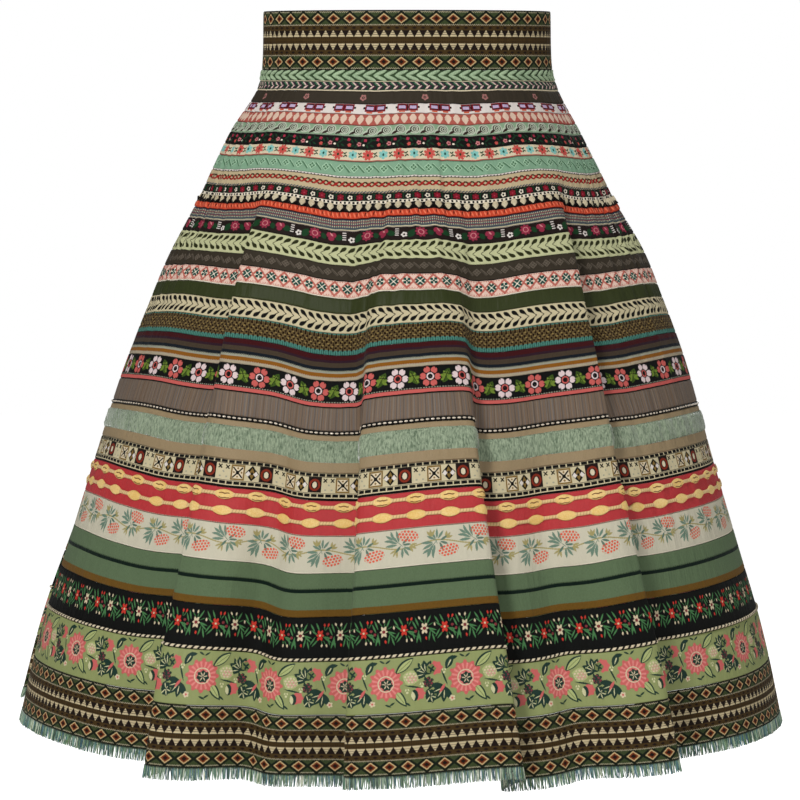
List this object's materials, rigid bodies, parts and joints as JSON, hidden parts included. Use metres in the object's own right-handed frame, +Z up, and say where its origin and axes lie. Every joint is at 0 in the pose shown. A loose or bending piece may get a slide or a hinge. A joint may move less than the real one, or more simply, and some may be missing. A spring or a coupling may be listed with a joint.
{
  "type": "tiered ribbon skirt with waistband and fringed hem",
  "caption": "Worn, hollow A-line skirt sewn from rings of woven ribbon and trim, with a wide ribbon waistband, deep soft folds and a fringed hem.",
  "frame": {"origin": "on the skirt's axis, level with the seam between the waistband and the first ribbon, where the wearer's waist holds it", "axes": "+Z up along the skirt's axis, -Y the front, +X to the right of someone facing the front"},
  "size_m": [0.6889, 0.6071, 0.6468],
  "materials": {
    "border_ribbon": "woven brown and green ribbon",
    "braid": "raised braid",
    "light_ribbon": "cream and pink woven ribbon",
    "dark_ribbon": "black or brown woven ribbon",
    "green_ribbon": "sage green woven ribbon",
    "mixed_ribbon": "striped and checked woven ribbon",
    "grosgrain": "ribbed taupe ribbon with a soft sheen",
    "plush": "napped sage band on beige",
    "red_ribbon": "red ribbed ribbon with yellow cords",
    "satin_ribbon": "green satin",
    "fringe_yarn": "loose green, blue and cream yarn ends"
  },
  "bodies": {
    "root": {"waistband": "border_ribbon", "tier_01_sage_braid": "braid", "tier_02_twill_braid": "braid", "tier_03_taupe_star": "dark_ribbon", "tier_04_gem_pairs": "light_ribbon", "tier_05_salmon_hearts": "light_ribbon", "tier_06_sage_scrolls": "green_ribbon", "tier_07_black_sprigs": "dark_ribbon", "tier_08_cream_posies": "light_ribbon", "tier_09_mint_relief": "green_ribbon", "tier_10_beige_chain": "light_ribbon", "tier_11_scallop_trim": "dark_ribbon", "tier_12_coral_cord": "braid", "tier_13_fine_plaid": "mixed_ribbon", "tier_14_brown_roses": "dark_ribbon", "tier_15_pale_leaves": "green_ribbon", "tier_16_taupe_relief": "dark_ribbon", "tier_17_teal_stars": "light_ribbon", "tier_18_olive_satin": "satin_ribbon", "tier_19_black_leaves": "light_ribbon", "tier_20_crochet_grid": "mixed_ribbon", "tier_21_stripes": "mixed_ribbon", "tier_22_bold_flowers": "dark_ribbon", "tier_23_taupe_grosgrain": "grosgrain", "tier_24_bead_edge": "dark_ribbon", "tier_25_sage_plush": "plush", "tier_26_patchwork": "light_ribbon", "tier_27_red_cords": "red_ribbon", "tier_28_berry_sprays": "light_ribbon", "tier_29_green_melange": "green_ribbon", "tier_30_black_daisies": "dark_ribbon", "tier_31_satin_blooms": "satin_ribbon", "tier_32_hem_ribbon": "border_ribbon", "fringe": "fringe_yarn"}
  },
  "joints": []
}
